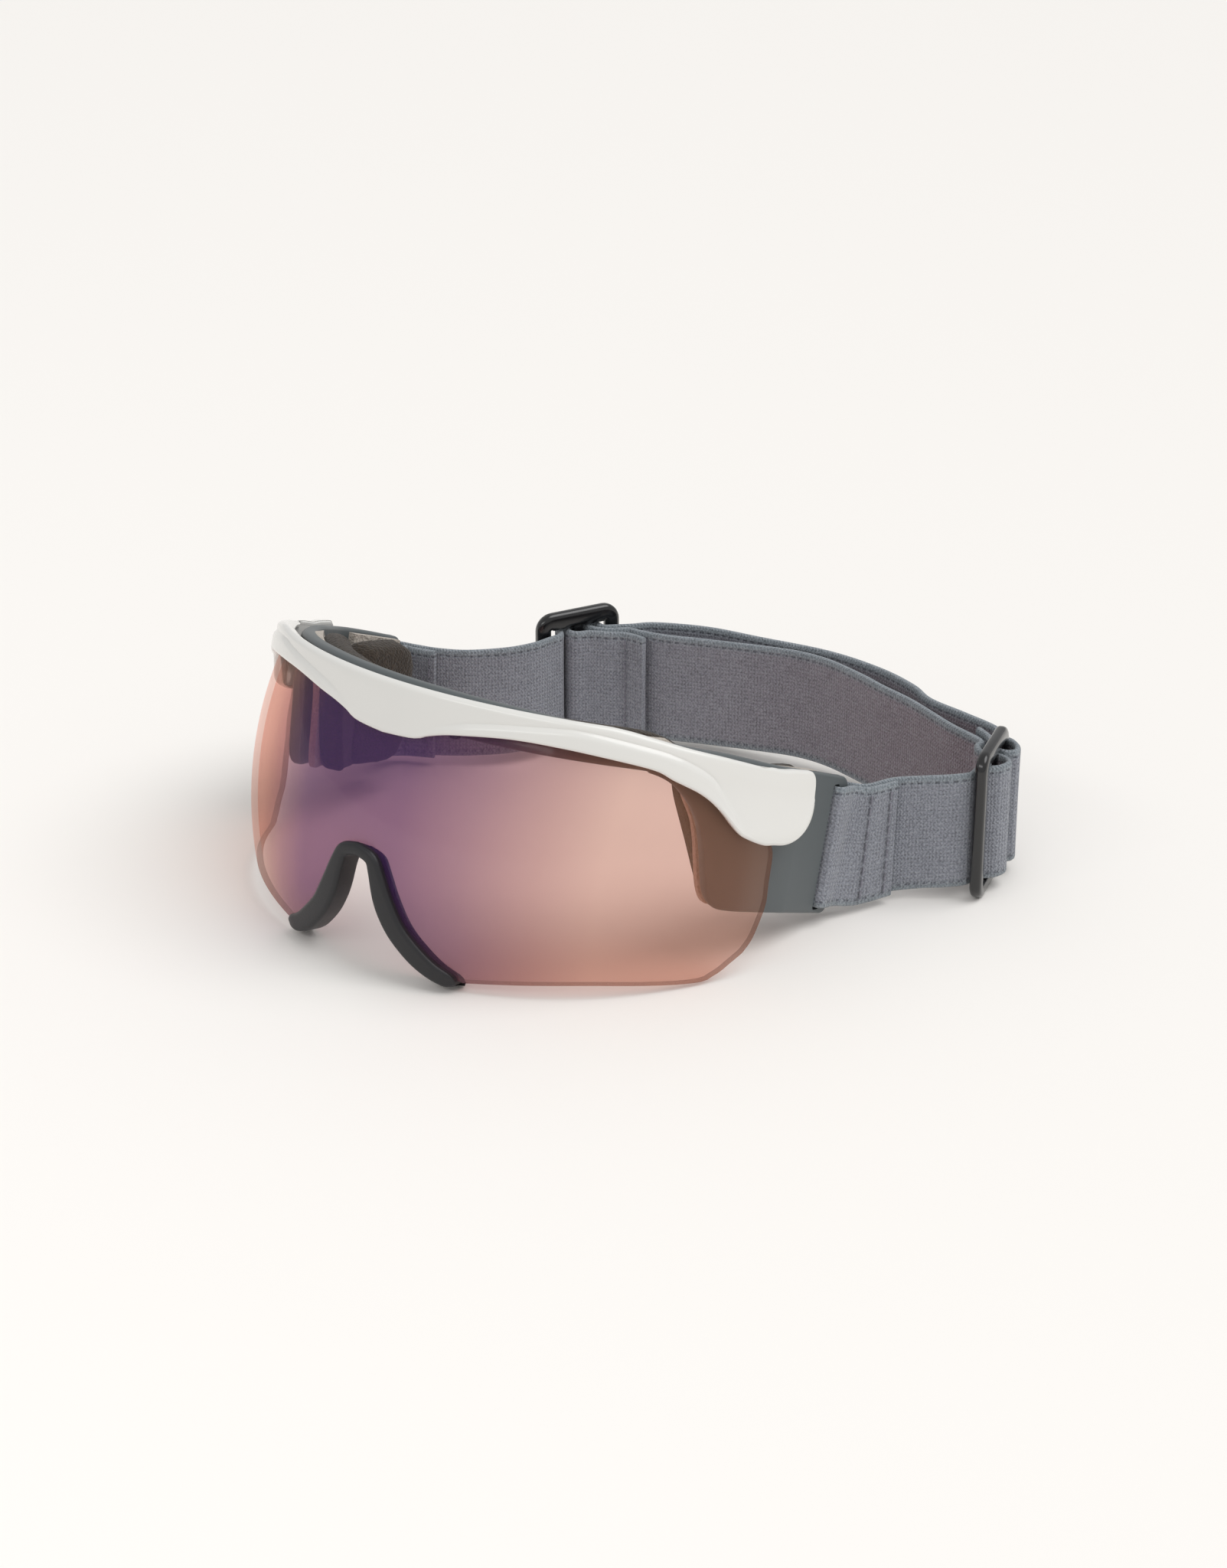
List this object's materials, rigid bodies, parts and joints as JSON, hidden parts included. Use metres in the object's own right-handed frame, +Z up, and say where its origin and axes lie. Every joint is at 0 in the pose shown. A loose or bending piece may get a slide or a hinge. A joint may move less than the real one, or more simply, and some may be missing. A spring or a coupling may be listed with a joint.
{
  "type": "strap visor",
  "caption": "Sport eye shield with a one-piece mirrored lens on a flip-up brow frame, a foam-lined inner frame and a doubled elastic head strap with ladder sliders.",
  "frame": {"origin": "on the surface the visor rests on, in the lens's plane of symmetry, straight below the middle of the top bar's leaning frame", "axes": "+X to the wearer's left, -Y forward out of the lens, +Z up; the flip axis lies along X at Y 3.3, Z 39.2 mm"},
  "size_m": [0.1737, 0.1603, 0.0686],
  "materials": {
    "white_plastic": "smooth gloss moulding",
    "mirror_lens": "warm mirror coating over a tinted shield",
    "dark_plastic": "matt",
    "nose_rubber": "satin soft rubber",
    "grey_plastic": "satin moulding",
    "foam": "open foam with a soft face",
    "backing": "pale felted backing",
    "brass": "turned",
    "washer": "self-lubricating plastic",
    "webbing": "knitted elastic with rolled edges",
    "slider_plastic": "gloss moulding",
    "thread": "sewing thread"
  },
  "bodies": {
    "frame": {"inner_frame": "grey_plastic", "brow_foam": "foam", "brow_backing": "backing", "temple_foam_left": "foam", "temple_foam_right": "foam", "foam_backing_left": "backing", "foam_backing_right": "backing", "friction_washer_left": "washer", "friction_washer_right": "washer", "strap_left": "webbing", "strap_right": "webbing", "arm_stitches_left": "thread", "arm_stitches_right": "thread"},
    "visor": {"brow_frame": "white_plastic", "lens": "mirror_lens", "lens_pins": "dark_plastic", "nose_pad": "nose_rubber", "hinge_screw_left": "brass", "hinge_screw_right": "brass", "hinge_insert_left": "brass", "hinge_insert_right": "brass"},
    "slider_left": {"slider_left": "slider_plastic", "fold_stitches_left": "thread"},
    "slider_right": {"slider_right": "slider_plastic", "fold_stitches_right": "thread"}
  },
  "joints": [
    {"name": "visor_flip", "type": "hinge", "parent": "frame", "child": "visor", "pos_m": [0, 0.00335, 0.03923], "axis": [-1, 0, 0], "range_deg": [0, 75]},
    {"name": "slider_left_slide", "type": "slide", "parent": "frame", "child": "slider_left", "axis": [-0.3074, 0.9516, 0], "range_m": [-0.008, 0.005], "deforming": ["strap_left", "strap_right"]},
    {"name": "slider_right_slide", "type": "slide", "parent": "frame", "child": "slider_right", "axis": [0.4163, 0.9092, 0], "range_m": [-0.008, 0.005], "deforming": ["strap_left", "strap_right"]}
  ]
}
